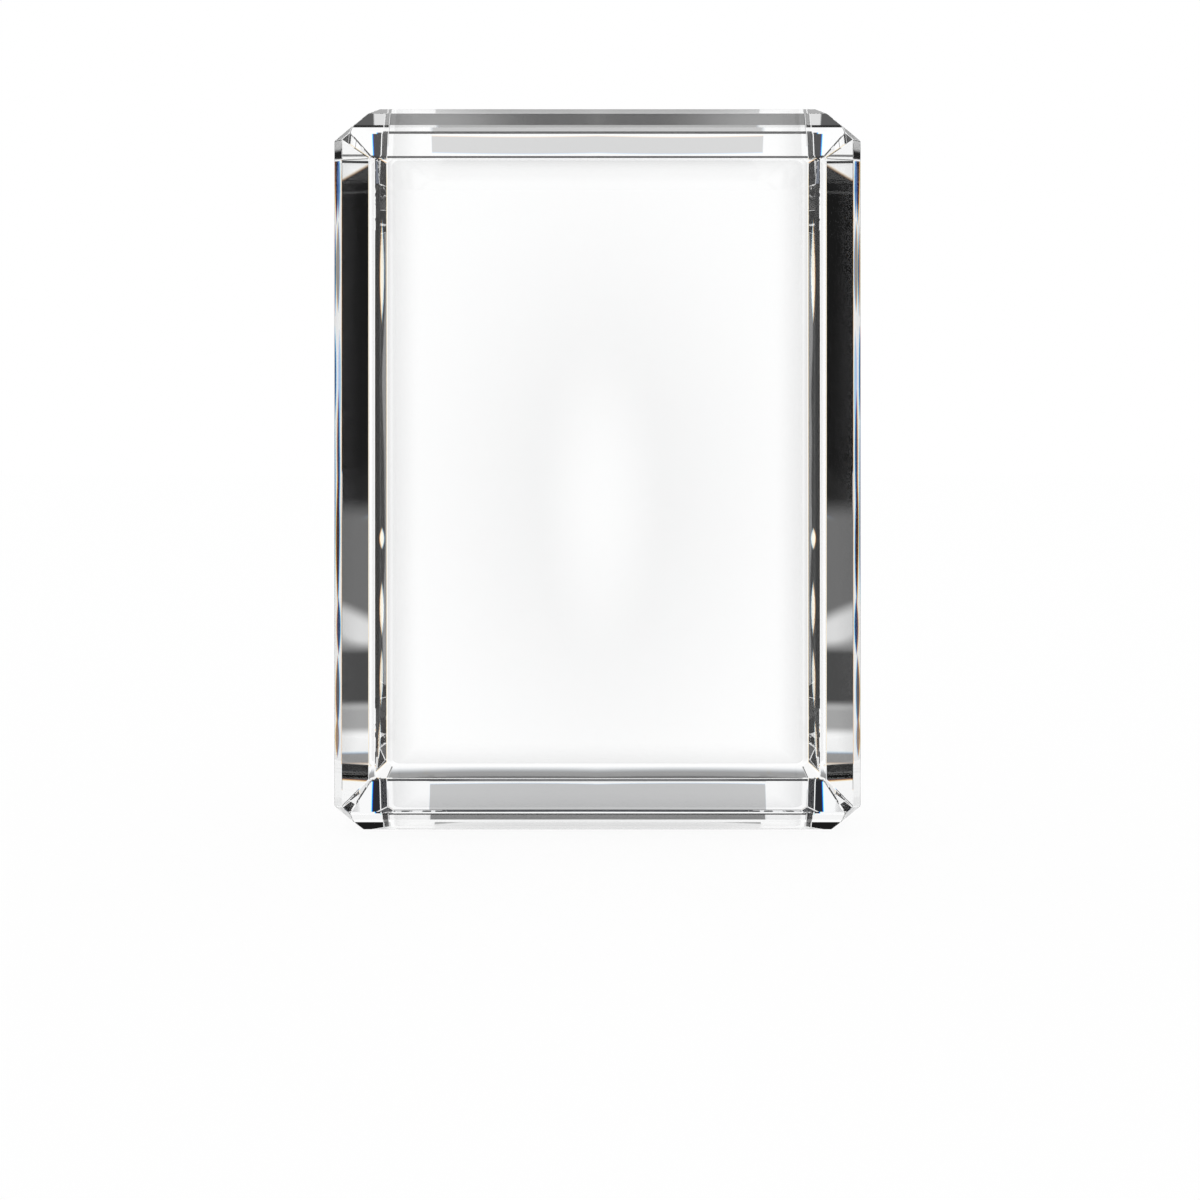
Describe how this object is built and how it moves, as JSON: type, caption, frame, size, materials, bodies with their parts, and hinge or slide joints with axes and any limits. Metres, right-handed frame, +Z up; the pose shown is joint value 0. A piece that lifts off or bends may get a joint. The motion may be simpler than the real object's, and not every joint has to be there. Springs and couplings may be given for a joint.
{
  "type": "photo crystal",
  "caption": "Upright block of clear optical glass with a step-cut bevelled front and cut corners, standing on its own flat base; a milky layer near its back face carries the engraved picture.",
  "frame": {"origin": "on the standing plane, under the middle of the block", "axes": "+Z up, front window faces -Y, +X to the right as seen from the front"},
  "size_m": [0.08, 0.03, 0.1119],
  "materials": {
    "optical_glass": "polished facets, colourless",
    "engraving": "fine frosted laser marks, milky white"
  },
  "bodies": {
    "root": {"crystal_block": "optical_glass", "engraved_layer": "engraving"}
  },
  "joints": []
}
